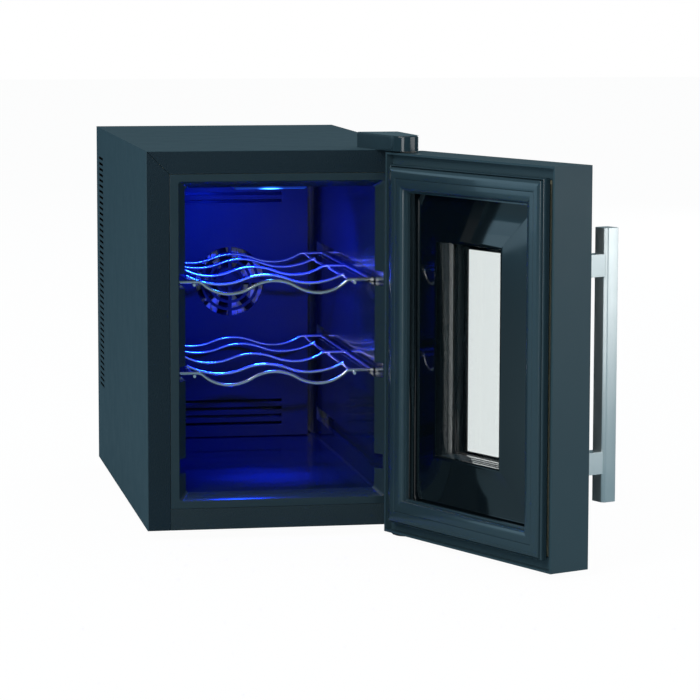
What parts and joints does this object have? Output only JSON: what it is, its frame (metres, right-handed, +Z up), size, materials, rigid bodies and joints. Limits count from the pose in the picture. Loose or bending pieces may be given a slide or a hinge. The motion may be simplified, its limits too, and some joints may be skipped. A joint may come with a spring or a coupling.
{
  "type": "wine cooler",
  "caption": "Free-standing thermoelectric wine cooler with a windowed door on a side hinge, lit cavity and sliding wire shelves.",
  "frame": {"origin": "on the floor at the centre of the cabinet footprint", "axes": "+Z up, +Y towards the back, +X to the hinge side seen from the front; the door stands open at rest"},
  "size_m": [0.3944, 0.7164, 0.3815],
  "materials": {
    "casing_paint": "satin slate powder coat",
    "trim_plastic": "fine textured slate moulding",
    "liner_plastic": "gloss black moulding",
    "foam": "rigid foam",
    "sheet_steel": "black painted sheet",
    "zinc_steel": "zinc plated",
    "chrome_wire": "bright chrome",
    "aluminium": "extruded",
    "fan_plastic": "moulded",
    "module_ceramic": "ceramic tile",
    "rubber_black": "moulded rubber",
    "board_green": "circuit board",
    "component_black": "component cases",
    "lamp_white": "white moulding",
    "lens_blue": "lit diffuser",
    "door_paint": "satin slate",
    "panel_gloss": "high gloss black",
    "glass_clear": "clear",
    "glass_dark": "clear outer pane",
    "mask_black": "black ceramic ink",
    "spacer_dark": "black anodised",
    "gasket_rubber": "soft seal",
    "magnet": "bonded magnet",
    "handle_steel": "brushed",
    "bush_white": "acetal",
    "cover_gloss": "gloss slate"
  },
  "bodies": {
    "cabinet": {"outer_casing": "casing_paint", "base_plate": "sheet_steel", "left_front_trim": "trim_plastic", "right_front_trim": "trim_plastic", "top_front_trim": "trim_plastic", "bottom_front_rail": "trim_plastic", "inner_liner": "liner_plastic", "cabinet_insulation": "foam", "bulkhead": "sheet_steel", "rear_cover": "sheet_steel", "rear_cover_channels": "fan_plastic", "rear_cover_screws": "zinc_steel", "feet": "rubber_black", "foot_screws": "zinc_steel", "cold_sink": "aluminium", "cold_block": "aluminium", "thermoelectric_module": "module_ceramic", "hot_sink": "aluminium", "cold_fan_frame": "fan_plastic", "cold_fan_screws": "zinc_steel", "hot_fan_frame": "fan_plastic", "hot_fan_screws": "zinc_steel", "air_duct_cover": "liner_plastic", "temperature_sensor": "component_black", "lamp_housing": "lamp_white", "lamp_board": "board_green", "lamp_lens": "lens_blue", "supply_tray": "fan_plastic", "power_board": "board_green", "power_components": "component_black", "cord_gland": "rubber_black", "top_hinge_plate": "zinc_steel", "top_hinge_pin": "zinc_steel", "top_hinge_screws": "zinc_steel", "top_hinge_cover": "cover_gloss", "bottom_hinge_plate": "sheet_steel", "bottom_hinge_pin": "zinc_steel", "bottom_hinge_screws": "zinc_steel", "hinge_nut_plates": "zinc_steel"},
    "door": {"door_frame": "door_paint", "door_inner_panel": "panel_gloss", "door_insulation": "foam", "door_inner_glass": "glass_clear", "glazing_spacer": "spacer_dark", "door_mask": "mask_black", "door_outer_glass": "glass_dark", "glass_retainer": "rubber_black", "door_gasket": "gasket_rubber", "gasket_magnets": "magnet", "handle_bar": "handle_steel", "handle_posts": "handle_steel", "handle_bolts": "zinc_steel", "door_top_bush": "bush_white", "door_bottom_bush": "bush_white"},
    "lower_shelf": {"lower_shelf": "chrome_wire"},
    "upper_shelf": {"upper_shelf": "chrome_wire"},
    "cold_fan_rotor": {"cold_fan_rotor": "fan_plastic"},
    "hot_fan_rotor": {"hot_fan_rotor": "fan_plastic"}
  },
  "joints": [
    {"name": "door_hinge", "type": "hinge", "parent": "cabinet", "child": "door", "pos_m": [0.1155, -0.253, 0.19], "axis": [0, 0, 1], "range_deg": [-114, 5]},
    {"name": "lower_shelf_slide", "type": "slide", "parent": "cabinet", "child": "lower_shelf", "axis": [0, -1, 0], "range_m": [0, 0.04]},
    {"name": "upper_shelf_slide", "type": "slide", "parent": "cabinet", "child": "upper_shelf", "axis": [0, -1, 0], "range_m": [0, 0.04]},
    {"name": "cold_fan_spin", "type": "hinge", "parent": "cabinet", "child": "cold_fan_rotor", "pos_m": [0, 0.1275, 0.209], "axis": [0, 1, 0], "continuous": true},
    {"name": "hot_fan_spin", "type": "hinge", "parent": "cabinet", "child": "hot_fan_rotor", "pos_m": [0, 0.2075, 0.209], "axis": [0, 1, 0], "continuous": true}
  ]
}
